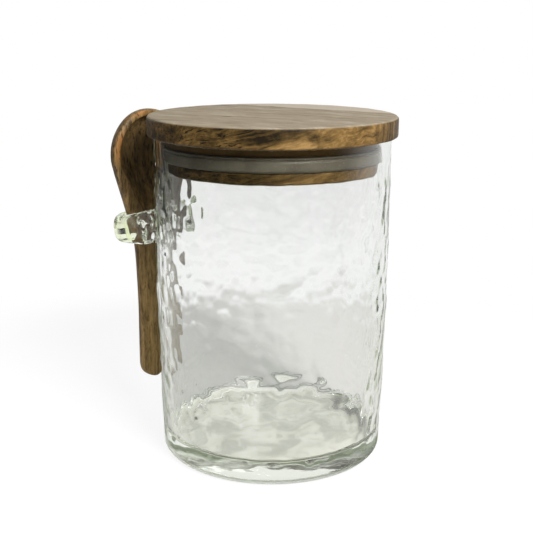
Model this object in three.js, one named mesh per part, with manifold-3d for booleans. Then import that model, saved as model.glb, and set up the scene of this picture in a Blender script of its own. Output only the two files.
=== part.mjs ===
// Glass canister: a blown jar with a glass loop on its side, a turned wooden lid with a silicone seal,
// and a carved wooden spoon that hangs in the loop.
// Millimetres, +Z up. The origin is the centre of the jar's flat underside, and the loop points along -X.

import * as THREE from 'three';
import { mergeVertices } from 'three/addons/utils/BufferGeometryUtils.js';
import Module from 'manifold-3d';

const { clamp, degToRad, lerp, smoothstep } = THREE.MathUtils;
const wasm = await Module();
wasm.setup();

// Jar: a slight barrel, widest above the middle, with a thick floor
const JAR_HEIGHT = 159;
const BELLY_RADIUS = 57.6;
const BELLY_HEIGHT = 118;
const FOOT_RADIUS = 55.4;
const HEEL_RADIUS = 2;
const WALL = 4.4;
const FLOOR = 10.5;
const FLOOR_CORNER_RADIUS = 2.5;
const RIM_ROUNDING = 1.3;

// Lid: a disc that overhangs the jar, and a plug that hangs in the mouth
const CAP_OVERHANG = 2.9;
const CAP_THICKNESS = 9.5;
const CAP_TOP_ROUNDING = 1.4;
const CAP_UNDER_ROUNDING = 0.9;
const PLUG_DEPTH = 16.7;
const PLUG_CLEARANCE = 1.8;
const PLUG_CHAMFER = 0.8;
const GROOVE_DROP = 4.1;
const GROOVE_HEIGHT = 7.2;
const GROOVE_DEPTH = 2.6;

// Seal: a soft band with a bead along its top edge
const SEAL_FIT = 0.2;
const SEAL_MOUTH_CLEARANCE = 0.3;
const SEAL_FOOT_INSET = 0.8;
const BEAD_HEIGHT = 1.2;
const BEAD_NOTCH = 0.5;

// Loop: a strap that leaves the wall tall and thick, thins out, spreads and droops towards its bend
const LOOP_INNER_RADIUS = 12.6;
const LOOP_ROOT_HALF_GAP = 8;
const LOOP_ROOT_SHARPNESS = 3;
const STRAP_ROOT_LEVEL = 111.3;
const STRAP_BEND_LEVEL = 105.5;
const STRAP_ROOT_HEIGHT = 20.3;
const STRAP_BEND_HEIGHT = 13.4;
const STRAP_ROOT_THICKNESS = 8;
const STRAP_BEND_THICKNESS = 6.2;
const STRAP_SQUARENESS = 2.8;
const FUSE_GAP = 0.3;

// Spoon: a round bowl, a tapering neck that rests in the loop, and a flat handle with a round end
const SPOON_LENGTH = 144.4;
const SPOON_TURN = 26;
const SPOON_LID_GAP = 0.8;
const SEAT_CLEARANCE = 0.4;
const BOWL_RADIUS = 21.2;
const BOWL_CROWN = 23.2;
const BOWL_BACK_DEPTH = 9;
const BOWL_RIM = 3.2;
const HOLLOW_DEPTH = 9;
const HOLLOW_FOOT = 8;
const NECK_TAPER = 17;
const NECK_BLEND = 3;
const NECK_BLEND_REACH = 6;
const HANDLE_WIDTH = 14.8;
const HANDLE_THICKNESS = 7.4;
const HANDLE_SQUARENESS = 3;
const RIM_SQUARENESS = 8;
const BACK_SQUARENESS = 2;

// Facets
const TURN_STEPS = 72;
const ARC_STEPS = 4;
const WALL_STEPS = 7;
const LEG_STEPS = 6;
const BEND_STEPS = 16;
const STRAP_SIDES = 16;
const SPOON_SIDES = 24;
const END_STEPS = 5;
const HANDLE_STEPS = 4;
const NECK_STEPS = 8;
const BOWL_STEPS = 14;
const HOLLOW_TURN_STEPS = 32;
const SEAT_STEP = 0.05;

// Finish: one plain colour and roughness for each piece
const JAR_COLOUR = '#e3ebe6';
const LOOP_COLOUR = '#d3dfd6';
const LID_COLOUR = '#9c7a4f';
const SEAL_COLOUR = '#8a867b';
const SPOON_COLOUR = '#86683a';
const GLASS_ROUGHNESS = 0.05;
const WOOD_ROUGHNESS = 0.55;
const SEAL_ROUGHNESS = 0.6;

// Sizes that follow from those above
function wallRadius(height) {
  const fromBelly = (height - BELLY_HEIGHT) / (BELLY_HEIGHT - HEEL_RADIUS);
  return BELLY_RADIUS - (BELLY_RADIUS - FOOT_RADIUS) * fromBelly ** 2;
}
const boreRadius = (height) => wallRadius(height) - WALL;
const mouthRadius = Math.min(boreRadius(JAR_HEIGHT), boreRadius(JAR_HEIGHT - PLUG_DEPTH));
const capRadius = BELLY_RADIUS + CAP_OVERHANG;
const plugRadius = mouthRadius - PLUG_CLEARANCE;
const neckTaper = degToRad(NECK_TAPER);
const handleHalf = HANDLE_WIDTH / 2;
const rimFront = HANDLE_THICKNESS / 2;
const bowlCentre = SPOON_LENGTH - BOWL_CROWN;
const neckTop = bowlCentre - BOWL_RADIUS * Math.sin(neckTaper);
const neckTopHalf = BOWL_RADIUS * Math.cos(neckTaper);
const neckFoot = neckTop - (neckTopHalf - handleHalf) / Math.tan(neckTaper);

// The spoon stands off so far that its bowl's far edge, even where it is widest, clears the lid's disc.
function spoonReach() {
  const turn = degToRad(SPOON_TURN);
  const inward = BOWL_RADIUS * Math.sin(turn) + rimFront * Math.cos(turn);
  const sideways = BOWL_RADIUS * Math.cos(turn) - rimFront * Math.sin(turn);
  return inward + Math.sqrt((capRadius + SPOON_LID_GAP) ** 2 - sideways ** 2);
}
const loopReach = spoonReach();

// Points of an arc in a half section, where x is the radius and y the height.
function arc(x, y, radius, fromDegrees, toDegrees) {
  const points = [];
  for (let step = 0; step <= ARC_STEPS; step += 1) {
    const angle = degToRad(lerp(fromDegrees, toDegrees, step / ARC_STEPS));
    points.push(new THREE.Vector2(x + radius * Math.cos(angle), y + radius * Math.sin(angle)));
  }
  return points;
}

// Points of a wall in a half section, between two heights.
function wallLine(radiusAt, fromHeight, toHeight) {
  const points = [];
  for (let step = 0; step <= WALL_STEPS; step += 1) {
    const height = lerp(fromHeight, toHeight, step / WALL_STEPS);
    points.push(new THREE.Vector2(radiusAt(height), height));
  }
  return points;
}

const at = (radius, height) => new THREE.Vector2(radius, height);

// Turns a half section about the Z axis.
function turned(section, steps = TURN_STEPS) {
  const geometry = new THREE.LatheGeometry(section, steps);
  geometry.rotateX(Math.PI / 2);
  return geometry;
}

// Joins rings of points into one skin, and closes both ends.
function lofted(rings) {
  const sides = rings[0].length;
  const last = (rings.length - 1) * sides;
  const positions = rings.flat().flatMap((point) => point.toArray());
  const index = [];
  for (let start = 0; start < last; start += sides) {
    for (let side = 0; side < sides; side += 1) {
      const next = (side + 1) % sides;
      index.push(start + side, start + next, start + sides + next);
      index.push(start + side, start + sides + next, start + sides + side);
    }
  }
  for (let side = 1; side < sides - 1; side += 1) {
    index.push(0, side + 1, side);
    index.push(last, last + side, last + side + 1);
  }
  const geometry = new THREE.BufferGeometry();
  geometry.setAttribute('position', new THREE.Float32BufferAttribute(positions, 3));
  geometry.setIndex(index);
  return geometry;
}

// A point of a unit circle pushed out towards a square, the more so the higher the squareness.
function roundedSquare(angle, squareness) {
  const power = 2 / squareness;
  const cos = Math.cos(angle);
  const sin = Math.sin(angle);
  return [Math.sign(cos) * Math.abs(cos) ** power, Math.sign(sin) * Math.abs(sin) ** power];
}

// A closed mesh as a solid that can be cut.
function solid(geometry) {
  const bare = geometry.clone();
  bare.deleteAttribute('normal');
  bare.deleteAttribute('uv');
  const merged = mergeVertices(bare);
  const vertProperties = merged.attributes.position.array;
  const triVerts = new Uint32Array(merged.index.array);
  return new wasm.Manifold(new wasm.Mesh({ numProp: 3, vertProperties, triVerts }));
}

// The first shape less the second one.
function cut(geometry, tool) {
  const { vertProperties, triVerts } = solid(geometry).subtract(solid(tool)).getMesh();
  const result = new THREE.BufferGeometry();
  result.setAttribute('position', new THREE.Float32BufferAttribute(vertProperties, 3));
  result.setIndex(Array.from(triVerts));
  return result;
}

function piece(name, geometry, colour, roughness) {
  geometry.computeVertexNormals();
  const material = new THREE.MeshStandardMaterial({ color: colour, roughness, metalness: 0 });
  const mesh = new THREE.Mesh(geometry, material);
  mesh.name = name;
  return mesh;
}

// Jar

function jarGeometry() {
  const rimCentre = JAR_HEIGHT - RIM_ROUNDING;
  const rimOutside = wallRadius(rimCentre);
  const rimInside = boreRadius(rimCentre);
  const cornerTop = FLOOR + FLOOR_CORNER_RADIUS;
  const cornerCentre = boreRadius(cornerTop) - FLOOR_CORNER_RADIUS;
  return turned([
    at(0, 0),
    ...arc(FOOT_RADIUS - HEEL_RADIUS, HEEL_RADIUS, HEEL_RADIUS, -90, 0),
    ...wallLine(wallRadius, HEEL_RADIUS, rimCentre).slice(1, -1),
    ...arc(rimOutside - RIM_ROUNDING, rimCentre, RIM_ROUNDING, 0, 90),
    ...arc(rimInside + RIM_ROUNDING, rimCentre, RIM_ROUNDING, 90, 180),
    ...wallLine(boreRadius, rimCentre, cornerTop).slice(1, -1),
    ...arc(cornerCentre, cornerTop, FLOOR_CORNER_RADIUS, 0, -90),
    at(0, FLOOR),
  ]);
}

// Loop

// One cross section of the strap, square to its path in plan.
function strapRing(x, y, outward) {
  const root = wallRadius(STRAP_ROOT_LEVEL);
  const tip = loopReach + LOOP_INNER_RADIUS + STRAP_BEND_THICKNESS / 2;
  const share = clamp((-x - root) / (tip - root), 0, 1);
  const eased = Math.sin((share * Math.PI) / 2);
  const halfThick = lerp(STRAP_ROOT_THICKNESS, STRAP_BEND_THICKNESS, eased) / 2;
  const halfTall = lerp(STRAP_ROOT_HEIGHT, STRAP_BEND_HEIGHT, eased) / 2;
  const level = lerp(STRAP_ROOT_LEVEL, STRAP_BEND_LEVEL, share);
  const ring = [];
  for (let side = 0; side < STRAP_SIDES; side += 1) {
    const [across, up] = roundedSquare((side / STRAP_SIDES) * 2 * Math.PI, STRAP_SQUARENESS);
    const offset = halfThick * (1 + across);
    ring.push(new THREE.Vector3(x + outward.x * offset, y + outward.y * offset, level + halfTall * up));
  }
  return ring;
}

// One cross section of a leg, on either side of the spoon. The legs are drawn in close to the wall.
function legRing(share, side) {
  const root = wallRadius(STRAP_ROOT_LEVEL);
  const reach = lerp(root - LOOP_INNER_RADIUS, loopReach, share);
  const toBend = clamp((loopReach - reach) / (loopReach - root), 0, 1);
  const halfGap = lerp(LOOP_INNER_RADIUS, LOOP_ROOT_HALF_GAP, toBend ** LOOP_ROOT_SHARPNESS);
  return strapRing(-reach, side * halfGap, new THREE.Vector2(0, side));
}

// Rings along the inside of the loop: out from within the wall, round the bend and back into the wall.
function strapRings() {
  const rings = [];
  for (let step = 0; step < LEG_STEPS; step += 1) {
    rings.push(legRing(step / LEG_STEPS, -1));
  }
  for (let step = 0; step <= BEND_STEPS; step += 1) {
    const angle = -Math.PI / 2 - (step / BEND_STEPS) * Math.PI;
    const outward = new THREE.Vector2(Math.cos(angle), Math.sin(angle));
    const inside = outward.clone().multiplyScalar(LOOP_INNER_RADIUS);
    rings.push(strapRing(inside.x - loopReach, inside.y, outward));
  }
  for (let step = LEG_STEPS - 1; step >= 0; step -= 1) {
    rings.push(legRing(step / LEG_STEPS, 1));
  }
  return rings;
}

// The strap's ends follow the wall that they are fused to.
function loopGeometry(rings) {
  const wall = wallLine((height) => wallRadius(height) + FUSE_GAP, 0, JAR_HEIGHT);
  return cut(lofted(rings), turned([at(0, 0), ...wall, at(0, JAR_HEIGHT)]));
}

// Lid and seal, with heights measured from the jar's rim

function lidGeometry() {
  const grooveTop = -GROOVE_DROP;
  const grooveFloor = plugRadius - GROOVE_DEPTH;
  const grooveFoot = grooveTop - GROOVE_HEIGHT;
  return turned([
    at(0, -PLUG_DEPTH),
    at(plugRadius - PLUG_CHAMFER, -PLUG_DEPTH),
    at(plugRadius, PLUG_CHAMFER - PLUG_DEPTH),
    at(plugRadius, grooveFoot),
    at(grooveFloor, grooveFoot),
    at(grooveFloor, grooveTop),
    at(plugRadius, grooveTop),
    at(plugRadius, 0),
    ...arc(capRadius - CAP_UNDER_ROUNDING, CAP_UNDER_ROUNDING, CAP_UNDER_ROUNDING, -90, 0),
    ...arc(capRadius - CAP_TOP_ROUNDING, CAP_THICKNESS - CAP_TOP_ROUNDING, CAP_TOP_ROUNDING, 0, 90),
    at(0, CAP_THICKNESS),
  ]);
}

function sealGeometry() {
  const inside = plugRadius - GROOVE_DEPTH + SEAL_FIT;
  const outside = mouthRadius - SEAL_MOUTH_CLEARANCE;
  const top = -GROOVE_DROP - SEAL_FIT;
  const foot = -GROOVE_DROP - GROOVE_HEIGHT + SEAL_FIT;
  const beadFoot = top - BEAD_HEIGHT;
  return turned([
    at(inside, foot),
    at(outside - SEAL_FOOT_INSET, foot),
    at(outside, foot + SEAL_FOOT_INSET),
    at(outside, beadFoot - BEAD_NOTCH),
    at(outside - BEAD_NOTCH, beadFoot),
    at(outside, beadFoot + BEAD_NOTCH),
    at(outside, top - BEAD_NOTCH / 2),
    at(outside - BEAD_NOTCH / 2, top),
    at(inside, top),
    at(inside, foot),
  ]);
}

// Spoon, standing on its handle's end with its front towards +X

// Half the spoon's width at a height above the handle's end: a crowned bowl, a straight neck, a round end.
function spoonHalfWidth(height) {
  if (height > bowlCentre) {
    return BOWL_RADIUS * Math.sqrt(Math.max(0, 1 - ((height - bowlCentre) / BOWL_CROWN) ** 2));
  }
  if (height > neckTop) {
    return Math.sqrt(BOWL_RADIUS ** 2 - (height - bowlCentre) ** 2);
  }
  if (height < handleHalf) {
    return Math.sqrt(Math.max(0, handleHalf ** 2 - (handleHalf - height) ** 2));
  }
  const neck = neckTopHalf - (neckTop - height) * Math.tan(neckTaper);
  const blend = Math.min(NECK_BLEND, neckTop - height);
  return (neck + handleHalf + Math.hypot(neck - handleHalf, blend)) / 2;
}

// Heights of the spoon's cross sections, closer together where its outline turns.
// The first and the last one stay half a step off the tips.
function spoonHeights() {
  const halfStep = 1 / 2;
  const blendFoot = neckFoot - NECK_BLEND_REACH;
  const heights = [];
  for (let step = 1; step < END_STEPS; step += 1) {
    heights.push(handleHalf * (1 - Math.cos(((step - halfStep) / END_STEPS) * (Math.PI / 2))));
  }
  for (let step = 0; step < HANDLE_STEPS; step += 1) {
    heights.push(lerp(handleHalf, blendFoot, step / HANDLE_STEPS));
  }
  for (let step = 0; step < NECK_STEPS; step += 1) {
    heights.push(lerp(blendFoot, neckTop, step / NECK_STEPS));
  }
  for (let step = 0; step < BOWL_STEPS; step += 1) {
    const angle = lerp(-neckTaper, Math.PI / 2, step / (BOWL_STEPS - halfStep));
    heights.push(bowlCentre + (angle < 0 ? BOWL_RADIUS : BOWL_CROWN) * Math.sin(angle));
  }
  return heights;
}

// The cross section at a height: a rounded bar in the handle, and in the bowl a flat rim over a round back.
function spoonSection(height) {
  const halfWidth = spoonHalfWidth(height);
  const bowlShare = height > neckTop ? 1 : smoothstep(halfWidth, handleHalf, neckTopHalf);
  return {
    halfWidth,
    front: rimFront,
    back: lerp(rimFront, (BOWL_BACK_DEPTH * halfWidth) / BOWL_RADIUS, bowlShare),
    frontSquareness: lerp(HANDLE_SQUARENESS, RIM_SQUARENESS, bowlShare),
    backSquareness: lerp(HANDLE_SQUARENESS, BACK_SQUARENESS, bowlShare),
  };
}

function spoonRing(height) {
  const section = spoonSection(height);
  const ring = [];
  for (let side = 0; side < SPOON_SIDES; side += 1) {
    const angle = (side / SPOON_SIDES) * 2 * Math.PI;
    const isFront = side < SPOON_SIDES / 2;
    const [across, deep] = roundedSquare(angle, isFront ? section.frontSquareness : section.backSquareness);
    const depth = deep * (isFront ? section.front : section.back);
    ring.push(new THREE.Vector3(depth, -across * section.halfWidth, height));
  }
  return ring;
}

// The hollow is the bowl's outline, drawn in by the rim, turned about the spoon's axis and flattened.
function hollowGeometry() {
  const inside = BOWL_RADIUS - BOWL_RIM;
  const outline = [at(0, neckFoot + HOLLOW_FOOT)];
  for (let step = 0; step <= BOWL_STEPS; step += 1) {
    const angle = lerp(-neckTaper, Math.PI / 2, step / BOWL_STEPS);
    const rise = angle < 0 ? inside : BOWL_CROWN - BOWL_RIM;
    outline.push(at(inside * Math.cos(angle), bowlCentre + rise * Math.sin(angle)));
  }
  const geometry = turned(outline, HOLLOW_TURN_STEPS);
  geometry.scale(HOLLOW_DEPTH / inside, 1, 1);
  geometry.translate(rimFront, 0, 0);
  return geometry;
}

function spoonGeometry() {
  return cut(lofted(spoonHeights().map(spoonRing)), hollowGeometry());
}

// Lowers the spoon until its neck is about to touch the loop.
function spoonSeat(loopPoints) {
  const turn = degToRad(SPOON_TURN);
  const touches = (seat) =>
    loopPoints.some((point) => {
      const deep = (point.x + loopReach) * Math.cos(turn) - point.y * Math.sin(turn);
      const across = (point.x + loopReach) * Math.sin(turn) + point.y * Math.cos(turn);
      const section = spoonSection(point.z - seat);
      const depth = (deep > 0 ? section.front : section.back) + SEAT_CLEARANCE;
      const squareness = deep > 0 ? section.frontSquareness : section.backSquareness;
      const width = section.halfWidth + SEAT_CLEARANCE;
      return Math.abs(deep / depth) ** squareness + Math.abs(across / width) ** squareness < 1;
    });
  let seat = STRAP_ROOT_LEVEL;
  while (!touches(seat - SEAT_STEP)) {
    seat -= SEAT_STEP;
  }
  return seat;
}

// Assembly

const strap = strapRings();
const lidGroup = new THREE.Group();
lidGroup.position.z = JAR_HEIGHT;
lidGroup.add(
  piece('lid', lidGeometry(), LID_COLOUR, WOOD_ROUGHNESS),
  piece('lid_seal', sealGeometry(), SEAL_COLOUR, SEAL_ROUGHNESS),
);

const spoon = piece('spoon', spoonGeometry(), SPOON_COLOUR, WOOD_ROUGHNESS);
spoon.position.set(-loopReach, 0, spoonSeat(strap.flat()));
spoon.rotation.z = -degToRad(SPOON_TURN);

const canister = new THREE.Group();
canister.add(
  piece('glass_jar', jarGeometry(), JAR_COLOUR, GLASS_ROUGHNESS),
  piece('spoon_loop', loopGeometry(strap), LOOP_COLOUR, GLASS_ROUGHNESS),
  lidGroup,
  spoon,
);

export default canister;
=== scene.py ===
"""Looks of the glass canister: hammered glass, a knotty wooden lid with its seal, and a carved spoon.

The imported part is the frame. Meshes and the view are in millimetres, and materials and lamps in metres.
"""

import math

import bmesh
import bpy
import numpy as np
from mathutils import Matrix, Vector, kdtree, noise


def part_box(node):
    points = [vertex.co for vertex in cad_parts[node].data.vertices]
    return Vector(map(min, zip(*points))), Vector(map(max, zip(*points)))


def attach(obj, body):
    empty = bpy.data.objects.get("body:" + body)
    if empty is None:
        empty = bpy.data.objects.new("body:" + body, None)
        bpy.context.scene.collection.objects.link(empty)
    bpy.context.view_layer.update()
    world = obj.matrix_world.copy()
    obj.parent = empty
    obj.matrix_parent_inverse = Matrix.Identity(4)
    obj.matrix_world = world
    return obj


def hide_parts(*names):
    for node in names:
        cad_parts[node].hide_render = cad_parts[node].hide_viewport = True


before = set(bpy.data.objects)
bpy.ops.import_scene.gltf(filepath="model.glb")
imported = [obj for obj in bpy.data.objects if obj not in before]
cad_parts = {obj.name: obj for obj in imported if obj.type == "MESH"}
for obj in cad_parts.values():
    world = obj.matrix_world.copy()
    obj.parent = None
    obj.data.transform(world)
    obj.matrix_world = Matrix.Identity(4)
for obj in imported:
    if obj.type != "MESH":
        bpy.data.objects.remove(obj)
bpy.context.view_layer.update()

MM = 0.001
WHITE = (1, 1, 1, 1)
BLACK = (0, 0, 0, 1)
SEED = 11
TINY = 1e-9
NEAR_FADE = (1.0, 0.3)

# View of the photograph: a square picture, with lengths in pixels, millimetres and degrees
IMAGE_SIZE = 533
FOCAL_LENGTH = 974.6
AXIS_COLUMN = 272.0
SENSOR = 36.0
VIEW_TURN = 25.0
VIEW_PITCH = 14.395
VIEW_ROLL = 0.253
VIEW_DISTANCE = 473.1
VIEW_HEIGHT = 214.2
NEAREST_SEEN = 10.0

# Jar, as in the part
JAR_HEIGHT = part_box("glass_jar")[1].z / MM
BELLY_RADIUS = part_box("glass_jar")[1].x / MM
BELLY_HEIGHT = 118.0
FOOT_RADIUS = 55.4
CURVE_START = 2.0
WALL = 4.4
FLOOR = 10.5

# Roundings of the glass, as the photograph shows them
HEEL_ROUNDING = 4.0
FLOOR_CORNER = 3.3
GROUND_RIM = 0.7

# Hammered marks outside and ripples inside, with the heights over which they start
DIMPLE_SIZE = 9.5
DIMPLE_DEPTH = 0.22
DIMPLE_JITTER = 0.42
DIMPLE_SOFTNESS = 4.0
DIMPLE_STRENGTHS = (0.55, 1.25)
DIMPLE_NEIGHBOURS = 6
SMOOTH_FOOT = (6.5, 13.0)
SMOOTH_NECK = (5.0, 22.0)
RIPPLE_SIZE = 18.0
RIPPLE_DEPTH = 0.2
RIPPLE_FOOT = (FLOOR, FLOOR + 6.0)
RIPPLE_NECK = (2.0, 14.0)

# Waves in the floor, and the glass that ran together at its back
FLOOR_WAVE_SIZE = 17.0
FLOOR_FINE_SIZE = FLOOR_WAVE_SIZE / 2
FLOOR_WAVE_DEPTH = 0.16
FLOOR_CALM_EDGE = (2.0, 9.0)
FINE_SHARE = 0.5
POOL_SIDE = 115.0
POOL_ENDS = (-0.1, 0.7)
POOL_CLIMB = 4.0
POOL_RUN = 9.0
POOL_STEP = 0.9
POOL_EDGE = 0.9
POOL_JAG_SIZE = 7.0
POOL_FINE_SIZE = POOL_JAG_SIZE / 3
POOL_JAG_DEPTH = 2.4

# Loop, as in the part, with the marks of its making
LOOP_INNER_RADIUS = 12.6
LOOP_ROOT_HALF_GAP = 8.0
LOOP_ROOT_SHARPNESS = 3
STRAP_ROOT_LEVEL = 111.3
STRAP_BEND_LEVEL = 105.5
STRAP_ROOT_HEIGHT = 20.3
STRAP_BEND_HEIGHT = 13.4
STRAP_ROOT_THICKNESS = 8.0
STRAP_BEND_THICKNESS = 6.2
STRAP_SQUARENESS = 2.3
STRAP_BURIAL = 2.6
STRAP_LUMP_SIZE = 8.0
STRAP_LUMP_DEPTH = 0.5
STRAP_LUMP_SIDES = (-0.6, 0.2)
PRESSED_REACH = 66.5
FLAT_SPACING = 3.6
FLAT_DEPTH = 0.7
FLAT_TILT = 0.55
FLAT_REACH = 5.0
FILLET = 2.5
FILLET_ROUNDS = 10

# Lid and seal, as in the part
CAP_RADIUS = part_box("lid")[1].x / MM
CAP_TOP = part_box("lid")[1].z / MM
PLUG_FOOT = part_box("lid")[0].z / MM
CAP_TOP_ROUNDING = 1.4
CAP_UNDER_ROUNDING = 0.9
PLUG_RADIUS = 51.1
PLUG_CHAMFER = 0.8
GROOVE_DROP = 4.1
GROOVE_HEIGHT = 7.2
GROOVE_DEPTH = 2.6
GROOVE_EDGE = 0.25
LID_WEAR = 0.12
LID_WEAR_SIZE = 9.0
SEAL_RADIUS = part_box("lid_seal")[1].x / MM
SEAL_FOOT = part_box("lid_seal")[0].z / MM
SEAL_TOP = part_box("lid_seal")[1].z / MM
SEAL_DEPTH = 3.9
SEAL_FOOT_CHAMFER = 0.8
SEAL_TOP_CHAMFER = 0.25
SEAL_WEAR = 0.05
SEAL_WEAR_SIZE = 12.0
BEAD_HEIGHT = 1.2
BEAD_NOTCH = 0.5

# Spoon, as in the part, with heights from the end of its handle
SPOON_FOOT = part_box("spoon")[0].z / MM
SPOON_LENGTH = 144.4
SPOON_TURN = 26.0
SPOON_REACH = 71.41
BOWL_RADIUS = 21.2
BOWL_CROWN = 23.2
BOWL_BACK_DEPTH = 9.0
BOWL_RIM = 3.2
HOLLOW_DEPTH = 9.0
HOLLOW_FOOT = 8.0
HOLLOW_POINT = 0.02
NECK_TAPER = math.radians(17.0)
NECK_BLEND = 3.0
HANDLE_WIDTH = 14.8
HANDLE_THICKNESS = 7.4
HANDLE_SQUARENESS = 3.0
RIM_SQUARENESS = 8.0
BACK_SQUARENESS = 2.0
HANDLE_HALF = HANDLE_WIDTH / 2
RIM_FRONT = HANDLE_THICKNESS / 2
BOWL_CENTRE = SPOON_LENGTH - BOWL_CROWN
NECK_TOP = BOWL_CENTRE - BOWL_RADIUS * math.sin(NECK_TAPER)
NECK_TOP_HALF = BOWL_RADIUS * math.cos(NECK_TAPER)
NECK_FOOT = NECK_TOP - (NECK_TOP_HALF - HANDLE_HALF) / math.tan(NECK_TAPER)
CARVE_VOXEL = 0.5
CARVE_ROUNDS = 8
CARVE_WAVE_SIZE = 11.0
CARVE_WAVE_DEPTH = 0.22
CARVE_STRETCH = (1, 1, 0.45)

# Mesh steps
GLASS_COLUMNS = 360
GLASS_POLE = 0.4
ARC_STEPS = 10
DIMPLED_ROWS = 150
RIPPLED_ROWS = 90
FLOOR_ROWS = 36
POOL_ROWS = 40
POOL_ZONE = 15.0
LEG_ROWS = 36
BEND_ROWS = 96
STRAP_SIDES = 64
LID_COLUMNS = 300
LID_POLE = 0.5
SEAL_STEPS = 6
SPOON_RINGS = 220
SPOON_SIDES = 96
HOLLOW_ROWS = 48
HOLLOW_COLUMNS = 128
SMOOTHING = 0.5

# Layers of noise, so that no two surfaces have the same bumps
LAYER_STEPS = (17.3, 5.1, 9.7)
RIPPLE_LAYER = 1
FLOOR_LAYER = 2
FINE_FLOOR_LAYER = 3
LUMP_LAYER = 4
LID_LAYER = 5
SEAL_LAYER = 6
CARVE_LAYER = 7
POOL_CLIMB_LAYER = 8
POOL_RUN_LAYER = 12

# Glass: the colours that it gives light, and where the loop is tinted and the heel is scuffed
GLASS_TINT = (0.985, 0.996, 0.988, 1)
GLASS_IOR = 1.5
THICK_TINT = (0.73, 0.80, 0.56, 1)
THICK_DENSITY = 3.2
LOOP_TINT = (0.91, 0.975, 0.66, 1)
LOOP_TINTED = (-0.062, -0.091)
HEEL_SCUFF = 0.3
SCUFF_HEIGHTS = (0.0045, 0.003)
SCUFF_RADII = (0.051, 0.052)
SHADOW_FACING = (0.88, 0.89, 0.88, 1)
SHADOW_GRAZING = (0.4, 0.42, 0.4, 1)

# Wood of the lid, turned to face the view: places and sizes of its marks and of its painted light and
# shade, and where each zone starts
LID_SHADED_LEFT = (0.012, -0.03)
LID_END = (0.044, 0.052)
GRAIN_SLOPE = -0.22
KNOT = ((0.0, -0.0600, 0.1672), (0.03, 0.02, 0.0065))
LIT_PATCH = ((0.026, -0.0550, 0.1625), (0.028, 0.02, 0.009))
PIN_KNOT = ((-0.0211, -0.013, CAP_TOP * MM), (0.0035, 0.0025, 0.003))
GRAIN_TURN = 32.0
SAPWOOD_EDGE = (0.0345, 0.0375)
TOP_EDGE = ((CAP_TOP - 0.9) * MM, (CAP_TOP - 0.2) * MM)
UNDER_EDGE = ((PLUG_FOOT + 0.5) * MM, (PLUG_FOOT + 0.15) * MM)
GAP_LIGHT_FOOT = ((SEAL_TOP - 0.4) * MM, (SEAL_TOP + 0.5) * MM)
GAP_LIGHT_TOP = ((JAR_HEIGHT + 0.2) * MM, (JAR_HEIGHT - 0.4) * MM)

# Wood of the spoon: where its bowl, rim and hollow start, and places and sizes of the patches of painted
# highlight on its rim
BOWL_EDGE = ((SPOON_FOOT + NECK_TOP - 14) * MM, (SPOON_FOOT + NECK_TOP) * MM)
RIM_EDGE = ((RIM_FRONT - 1.2) * MM, (RIM_FRONT - 0.3) * MM)
HOLLOW_EDGE = (0.003, 0.0015)
RIM_LIGHT_SIDE = ((RIM_FRONT * MM, -0.0195, 0.152), (0.008, 0.006, 0.014))
RIM_LIGHT_CROWN = ((RIM_FRONT * MM, -0.010, 0.1675), (0.008, 0.012, 0.004))

# Floor's material: what the camera sees straight and through glass, by distances from the jar's axis
FLOOR_NEAR = 0.23
FLOOR_FAR = 0.34
FLOOR_COLOUR = (0.80, 0.79, 0.76, 1)
FLOOR_LIFT = 0.1
FLOOR_SHOWN_COLOUR = (0.19, 0.19, 0.19, 1)
FLOOR_SHOWN_LIFT = 0.85
UNDER_JAR = (0.06, 0.052)
UNDER_COLOUR = (0.79, 0.79, 0.62, 1)
GATHERED_RADII = (0.053, 0.04)
GATHERED_LIGHT = 0.3
GATHERED_COLOUR = (1.0, 0.985, 0.90, 1)
RING_INSIDE = (0.044, 0.050)
RING_OUTSIDE = (0.066, 0.058)
RING_COLOUR = (0.10, 0.125, 0.07, 1)
RING_DARK_SIDE = -25.0
RING_FADE = (-0.35, 0.2)
BACK_LIGHT = 0.35
EDGE_INSIDE = (0.060, 0.063)
EDGE_OUTSIDE = (0.072, 0.066)
EDGE_SHADE = 0.65
GUIDED_DEPTH = 1.5
GUIDED_LOSS = 0.3
GUIDED_COLOUR = (0.62, 0.69, 0.53, 1)

# Floor, dark cards, sky and lamps
FLOOR_DROP = 0.3
FLOOR_HALF = 6000.0
CARD_RADIUS = 550.0
CARD_TURNS = (125.0, 400.0)
CARD_SPANS = ((0.0, 170.0), (420.0, 900.0))
CARD_SEAM = 75.0
CARD_FADES = ((125.0, 165.0), (400.0, 350.0))
CARD_COLUMNS = 72
CLOTH_COLOURS = ((0.01, 0.01, 0.01, 1), (0.04, 0.04, 0.04, 1))
SKY_LIGHT = 0.34
SKY_BEYOND = 0.92
KEY_PLACE = (0.80, -0.60, 0.75)
KEY_SIZE = 0.4
KEY_POWER = 15.0
FILL_PLACE = (-0.5, -0.7, 1.1)
FILL_SIZE = 1.2
FILL_POWER = 2.0
LAMP_AIM = (0, 0, 0.09)
LIGHT_BOUNCES = 32

generator = np.random.default_rng(SEED)


# Meshes


def new_object(name, vertices, faces):
    """A smooth mesh object from points in millimetres."""
    mesh = bpy.data.meshes.new(name)
    mesh.from_pydata((np.asarray(vertices) * MM).tolist(), [], faces)
    mesh.validate()
    mesh.shade_smooth()
    made = bpy.data.objects.new(name, mesh)
    bpy.context.scene.collection.objects.link(made)
    return made


def ring_faces(rings, columns, closed=False):
    """Quads between rings of points that follow each other, each ring closed on itself."""
    faces = []
    for ring in range(rings if closed else rings - 1):
        here = ring * columns
        there = (ring + 1) % rings * columns
        for column in range(columns):
            beside = (column + 1) % columns
            faces.append((here + column, here + beside, there + beside, there + column))
    return faces


def tube_faces(rings, columns):
    """Quads between rings of points, with one face over each end."""
    last = (rings - 1) * columns
    faces = ring_faces(rings, columns)
    faces.append(tuple(range(columns - 1, -1, -1)))
    faces.append(tuple(range(last, last + columns)))
    return faces


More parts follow.
